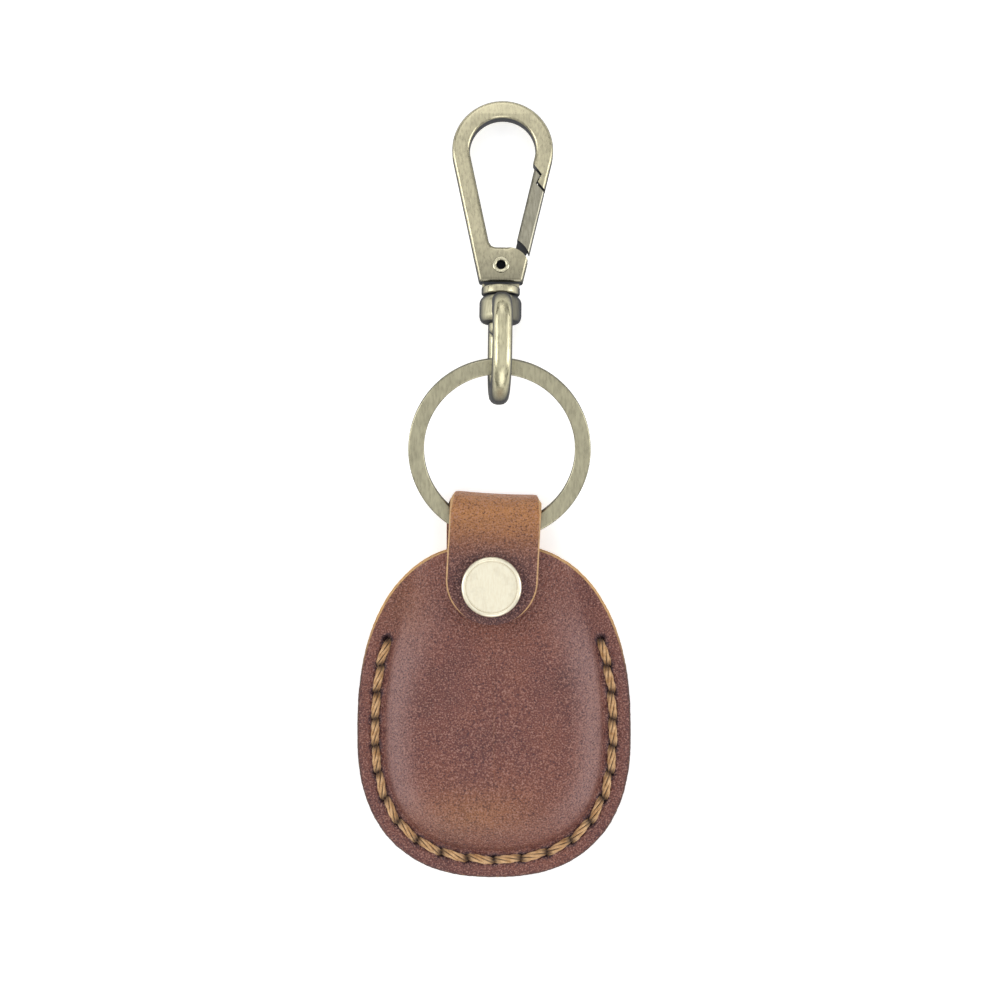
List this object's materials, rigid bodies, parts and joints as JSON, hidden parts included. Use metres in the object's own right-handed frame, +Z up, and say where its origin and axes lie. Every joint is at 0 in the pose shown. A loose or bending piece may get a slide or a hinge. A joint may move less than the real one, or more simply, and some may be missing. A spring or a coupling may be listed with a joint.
{
  "type": "guitar pick holder",
  "caption": "Leather pouch for guitar picks, with a strap snapped over a flat key ring and a swivel snap hook to clip it to a bag, case or belt loop.",
  "frame": {"origin": "centre of the pouch's flat back", "axes": "+X across the pouch, +Y from the pouch to the hook, +Z up out of the pouch's front"},
  "size_m": [0.0452, 0.128, 0.0169],
  "materials": {
    "oiled_leather": "brown pull-up leather, waxed, dark rubbed edges",
    "waxed_thread": "golden tan waxed linen thread",
    "antique_brass": "brushed antique brass plating, dark in the recesses",
    "satin_brass": "pale satin brass plating",
    "spring_steel": "drawn spring wire"
  },
  "bodies": {
    "pouch": {"back_leaf": "oiled_leather", "front_leaf": "oiled_leather", "front_stitches": "waxed_thread", "back_stitches": "waxed_thread", "snap_stud": "satin_brass", "snap_post": "satin_brass"},
    "flap": {"strap_flap": "oiled_leather", "snap_cap": "satin_brass", "snap_socket": "satin_brass", "snap_spring": "spring_steel"},
    "ring": {"key_ring": "antique_brass"},
    "eye": {"swivel_eye": "antique_brass"},
    "hook": {"swivel_pin": "antique_brass", "hook_body": "antique_brass", "gate_rivet": "antique_brass", "gate_spring": "spring_steel"},
    "gate": {"gate": "antique_brass"}
  },
  "joints": [
    {"name": "strap_snap", "type": "hinge", "parent": "pouch", "child": "flap", "pos_m": [0.00017, 0.03139, 0.0086], "axis": [0.9986, -0.0523, 0], "range_deg": [-150, 0]},
    {"name": "ring_lift", "type": "hinge", "parent": "pouch", "child": "ring", "pos_m": [0.0009, 0.0295, 0.00285], "axis": [1, 0, 0], "range_deg": [0, 80]},
    {"name": "eye_swing", "type": "hinge", "parent": "ring", "child": "eye", "pos_m": [0.0009, 0.05661, 0.00685], "axis": [1, 0, 0], "range_deg": [0, 120]},
    {"name": "hook_swivel", "type": "hinge", "parent": "eye", "child": "hook", "pos_m": [0.00095, 0.0582, 0.00883], "axis": [0.0138, 0.9857, -0.1678], "continuous": true},
    {"name": "gate_open", "type": "hinge", "parent": "hook", "child": "gate", "pos_m": [0.00116, 0.07289, 0.00633], "axis": [0.0023, 0.1677, 0.9858], "range_deg": [0, 28], "stiffness_Nm_per_rad": 0.02, "springref_deg": -28.65}
  ]
}
